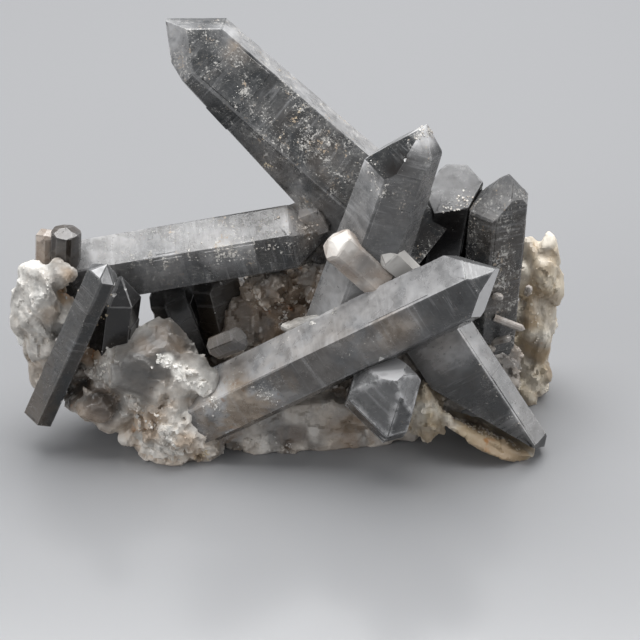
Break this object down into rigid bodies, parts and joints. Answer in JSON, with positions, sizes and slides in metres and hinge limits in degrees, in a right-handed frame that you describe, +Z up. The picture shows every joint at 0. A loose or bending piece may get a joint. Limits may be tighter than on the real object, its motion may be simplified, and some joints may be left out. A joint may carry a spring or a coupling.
{
  "type": "smoky quartz cluster",
  "caption": "Cluster of dark smoky quartz crystals that lie across each other on a rough, milky to pale brown quartz base.",
  "frame": {"origin": "on the flat cut under the base, below the centre of the cluster's box seen from above", "axes": "+Z up from the flat cut; +X along the length, towards the crystal that slants down to the table; -Y is the side that the long front crystal lies across"},
  "size_m": [0.185, 0.101, 0.1359],
  "materials": {
    "smoky_quartz": "glassy crystal faces, near-black where thick, with milky and frosted patches and a rough pale base"
  },
  "bodies": {
    "root": {"quartz_cluster": "smoky_quartz"}
  },
  "joints": []
}
